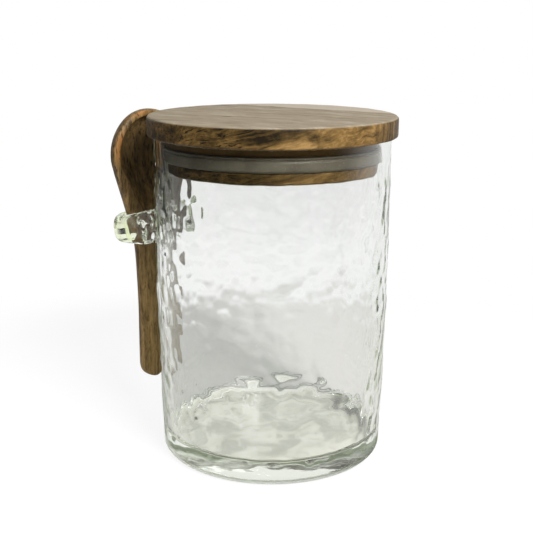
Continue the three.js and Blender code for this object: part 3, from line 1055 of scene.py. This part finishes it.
def spoon_material():
    """Streaky wood, porous in the bowl, with painted shade in the hollow and painted highlights on patches
    of the rim.
    """
    shader = Shader(bpy.data.materials.new("spoon_wood"))
    place = shader.place()
    own = shader.mapped(shader.mapped(place, shift=(SPOON_REACH * MM, 0, 0)), turn=SPOON_TURN)
    forward = shader.axis(own, "X")
    wavy = shader.warped(own, 30.0, 0.006)
    streaks = shader.grain(wavy, (260, 260, 9), detail=5.0, roughness=0.6)
    hair = shader.grain(wavy, (1100, 1100, 45), detail=5.0, roughness=0.7)
    broad = shader.grain(wavy, (60, 60, 12))
    fleck = shader.grain(wavy, (480, 480, 170), detail=4.0, roughness=0.7)
    pores = shader.grain(wavy, (900, 900, 220), detail=2.0)
    wood = shader.ramp(
        shader.blend((streaks, 0.35), (hair, 0.35), (broad, 0.15), (fleck, 0.15)),
        (0.40, colour(50, 36, 16)),
        (0.46, colour(108, 84, 48)),
        (0.52, colour(152, 122, 76)),
        (0.59, colour(190, 155, 102)),
    )
    in_bowl = shader.share(shader.axis(place, "Z"), *BOWL_EDGE)
    # Painted shade: the hollow of the bowl is darkened as if in the lid's shadow
    hollow_painted_shade = shader.times(in_bowl, shader.share(forward, *HOLLOW_EDGE))
    wood = shader.mix(shader.times(hollow_painted_shade, 0.55), wood, colour(76, 58, 32))
    on_rim = shader.times(in_bowl, shader.share(forward, *RIM_EDGE))
    # Painted highlight: orange light on patches of the rim where the key lamp falls
    rim_painted_light = shader.most(shader.near(own, *RIM_LIGHT_SIDE), shader.near(own, *RIM_LIGHT_CROWN))
    patchy = shader.blend((hair, 0.7), (broad, 0.6))
    wood = shader.mix(shader.times(on_rim, rim_painted_light, patchy), wood, colour(182, 122, 60))
    open_pores = shader.times(shader.share(pores, 0.57, 0.64), shader.blend((in_bowl, 0.5), (1.0, 0.4)))
    wood = shader.mix(open_pores, wood, colour(36, 25, 10))
    relief = shader.blend((hair, 0.6), (pores, -0.5))
    return shader.finish(
        Base_Color=wood,
        Roughness=shader.blend((streaks, 0.25), (1.0, 0.4)),
        Specular_IOR_Level=0.35,
        Normal=shader.bump(relief, 0.0003, 0.6),
    )


def seal_material():
    """Cloudy grey silicone with a little dust on it."""
    shader = Shader(bpy.data.materials.new("silicone"))
    place = shader.place()
    clouds = shader.noise(place, scale=60.0, detail=4.0)
    dust = shader.noise(place, scale=900.0, detail=2.0)
    grey = shader.mix(shader.share(clouds, 0.3, 0.7), colour(106, 98, 82), colour(128, 121, 104))
    grey = shader.mix(shader.share(dust, 0.62, 0.75), grey, colour(156, 150, 136))
    return shader.finish(
        Base_Color=grey,
        Roughness=shader.blend((clouds, 0.2), (1.0, 0.38)),
        Specular_IOR_Level=0.4,
        Subsurface_Weight=0.25,
        Subsurface_Radius=(0.002, 0.002, 0.002),
        Normal=shader.bump(dust, 0.0001, 0.4),
    )


# Stage


def light_path(shader):
    """What the camera sees straight, and what it sees in or through glass. Light on surfaces is neither."""
    beyond = shader.most(shader.path("Is Transmission Ray"), shader.path("Is Glossy Ray"))
    fresh = shader.maths("LESS_THAN", shader.path("Diffuse Depth"), 0.5)
    return shader.path("Is Camera Ray"), shader.times(beyond, fresh)


def make_world():
    shader = Shader(bpy.data.worlds.new("studio"), "Background")
    straight_on, beyond = light_path(shader)
    strength = shader.blend(
        (beyond, SKY_BEYOND - SKY_LIGHT),
        (straight_on, 1 - SKY_LIGHT),
        (1.0, SKY_LIGHT),
    )
    bpy.context.scene.world = shader.finish(Color=WHITE, Strength=strength)


def floor_material():
    """White to the camera but for the shadow. Glass shows it as the lamps and the jar itself light it."""
    shader = Shader(bpy.data.materials.new("pale_floor"))
    straight_on, beyond = light_path(shader)
    place = shader.place()
    away = shader.length(place)
    uneven = shader.noise(place, scale=40.0, detail=4.0)
    far = shader.share(shader.blend((uneven, 0.02), (away, 1.0)), FLOOR_NEAR, FLOOR_FAR)
    under_jar = shader.share(away, *UNDER_JAR)

    # The base's contact shadow: under the heel at the front, and a thin line beyond it at the back
    from_axis = shader.axis(shader.mapped(place, turn=-RING_DARK_SIDE), "X")
    at_front = shader.share(shader.maths("DIVIDE", from_axis, away), *RING_FADE)
    at_back = shader.maths("SUBTRACT", 1.0, at_front)
    ring = shader.times(shader.share(away, *RING_INSIDE), shader.share(away, *RING_OUTSIDE))
    edge = shader.times(shader.share(away, *EDGE_INSIDE), shader.share(away, *EDGE_OUTSIDE))
    # Painted shade and a green cast where glass shows the floor after several reflections inside it
    is_deep = shader.maths("GREATER_THAN", shader.path("Glossy Depth"), GUIDED_DEPTH)
    guided = shader.times(is_deep, beyond)
    patches = shader.noise(place, scale=110.0, detail=4.0, roughness=0.6, distortion=1.0)
    mottled = shader.blend((shader.share(patches, 0.3, 0.6), 0.4), (1.0, 0.5))
    dark = shader.most(
        shader.times(ring, at_front),
        shader.times(edge, at_back, EDGE_SHADE),
        shader.times(guided, GUIDED_LOSS),
    )
    dark = shader.times(dark, mottled, beyond)

    # Light that the jar's base gathers on the floor, in spots and as a pale ring at the back
    glints = shader.noise(place, scale=70.0, roughness=0.5, distortion=1.0)
    spots = shader.blend((shader.share(glints, 0.35, 0.65), 1.0), (1.0, 0.3))
    gathered = shader.blend(
        (shader.times(shader.share(away, *GATHERED_RADII), spots), GATHERED_LIGHT),
        (shader.times(ring, at_back), BACK_LIGHT),
        (1.0, FLOOR_LIFT),
    )

    shown = shader.maths("SUBTRACT", beyond, dark)
    near_lift = shader.blend((straight_on, FLOOR_SHOWN_LIFT), (shown, gathered))
    far_lift = shader.blend((straight_on, 1.0), (shown, SKY_BEYOND))
    lift = {"Value": far, "To Min": near_lift, "To Max": far_lift}
    glow = shader.mix(shader.times(under_jar, beyond), WHITE, GATHERED_COLOUR)
    pale = shader.mix(under_jar, FLOOR_COLOUR, UNDER_COLOUR)
    pale = shader.mix(straight_on, pale, FLOOR_SHOWN_COLOUR)
    pale = shader.mix(guided, pale, GUIDED_COLOUR)
    pale = shader.mix(dark, pale, RING_COLOUR)
    return shader.finish(
        Base_Color=shader.mix(far, pale, BLACK),
        Roughness=0.9,
        Specular_IOR_Level=0.0,
        Emission_Color=shader.mix(guided, glow, GUIDED_COLOUR),
        Emission_Strength=shader.node("ShaderNodeMapRange", lift).outputs[0],
    )


def make_floor():
    signs = [(-1, -1), (1, -1), (1, 1), (-1, 1)]
    corners = [(x * FLOOR_HALF, y * FLOOR_HALF, -FLOOR_DROP) for x, y in signs]
    floor = new_object("floor", corners, [(0, 1, 2, 3)])
    floor.data.materials.append(floor_material())


def card_material():
    """Dark cloth that only reflections show. It thins out towards both of its ends."""
    shader = Shader(bpy.data.materials.new("dark_cloth"))
    place = shader.place()
    weave = shader.noise(place, scale=300.0, detail=2.0)
    cloth = shader.mix(weave, *CLOTH_COLOURS)
    shader.finish(Base_Color=cloth, Roughness=0.95, Specular_IOR_Level=0.1)
    seam_behind = shader.mapped(place, turn=180 - CARD_SEAM)
    bearing = shader.maths("ARCTAN2", shader.axis(seam_behind, "Y"), shader.axis(seam_behind, "X"))
    dark = shader.maths("GREATER_THAN", shader.path("Glossy Depth"), 0.5)
    for gone, full in np.radians(np.array(CARD_FADES) - CARD_SEAM - 180):
        dark = shader.times(dark, shader.share(bearing, gone, full))
    shader.output("Surface", shader.mixed(dark, shader.clear(), shader.surface.outputs[0]))
    return shader.owner


def make_cards():
    """Two cards round the front of the table, with a gap that lets light come through the thick base."""
    material = card_material()
    above = CARD_COLUMNS + 1
    faces = [(column, column + 1, column + 1 + above, column + above) for column in range(CARD_COLUMNS)]
    angles = np.radians(np.linspace(*CARD_TURNS, CARD_COLUMNS + 1))
    for heights in CARD_SPANS:
        points = []
        for height in heights:
            for angle in angles:
                points.append((CARD_RADIUS * math.cos(angle), CARD_RADIUS * math.sin(angle), height))
        card = new_object("dark_card", points, faces)
        card.data.materials.append(material)
        card.visible_camera = False
        card.visible_diffuse = False
        card.visible_shadow = False


def add_lamp(name, place, size, watts):
    data = bpy.data.lights.new(name, "AREA")
    data.shape = "SQUARE"
    data.size = size
    data.energy = watts
    lamp = bpy.data.objects.new(name, data)
    lamp.location = place
    aim = Vector(LAMP_AIM) - Vector(place)
    lamp.rotation_euler = aim.to_track_quat("-Z", "Y").to_euler()
    bpy.context.scene.collection.objects.link(lamp)


def add_camera():
    data = bpy.data.cameras.new("view")
    data.sensor_width = SENSOR
    data.lens = FOCAL_LENGTH / IMAGE_SIZE * SENSOR
    data.shift_x = (IMAGE_SIZE / 2 - AXIS_COLUMN) / IMAGE_SIZE
    data.clip_start = NEAREST_SEEN * MM
    turn = math.radians(VIEW_TURN)
    camera = bpy.data.objects.new("view", data)
    stand = (VIEW_DISTANCE * math.sin(turn), -VIEW_DISTANCE * math.cos(turn), VIEW_HEIGHT)
    camera.matrix_world = (
        Matrix.Translation(Vector(stand) * MM)
        @ Matrix.Rotation(turn, 4, "Z")
        @ Matrix.Rotation(math.radians(90 - VIEW_PITCH), 4, "X")
        @ Matrix.Rotation(math.radians(VIEW_ROLL), 4, "Z")
    )
    bpy.context.scene.collection.objects.link(camera)
    bpy.context.scene.camera = camera


def set_light_paths():
    """Lets light bounce often enough for glass behind glass, without bright specks from the lamps."""
    cycles = bpy.context.scene.cycles
    cycles.max_bounces = LIGHT_BOUNCES
    cycles.transmission_bounces = LIGHT_BOUNCES
    cycles.glossy_bounces = LIGHT_BOUNCES
    cycles.transparent_max_bounces = LIGHT_BOUNCES
    cycles.caustics_refractive = False
    cycles.caustics_reflective = False


# Assembly


def dress(piece, material, body, slot, *nodes):
    """Gives a piece its material, sets it on the body that it rides on, and hides the nodes of the part
    that it stands for.
    """
    piece.data.materials.clear()
    piece.data.materials.append(material)
    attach(piece, body)
    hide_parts(*nodes)


glass = joined(make_jar(), make_loop(), "UNION")
soften_roots(glass)
dress(glass, glass_material(), "jar", "clear_glass", "glass_jar", "spoon_loop")
dress(make_lid(), lid_material(), "lid", "lid_wood", "lid")
dress(make_seal(), seal_material(), "lid", "silicone", "lid_seal")
dress(make_spoon(), spoon_material(), "spoon", "spoon_wood", "spoon")

make_world()
make_floor()
make_cards()
add_lamp("key", KEY_PLACE, KEY_SIZE, KEY_POWER)
add_lamp("fill", FILL_PLACE, FILL_SIZE, FILL_POWER)
add_camera()
set_light_paths()
bpy.context.scene.view_settings.view_transform = "Standard"
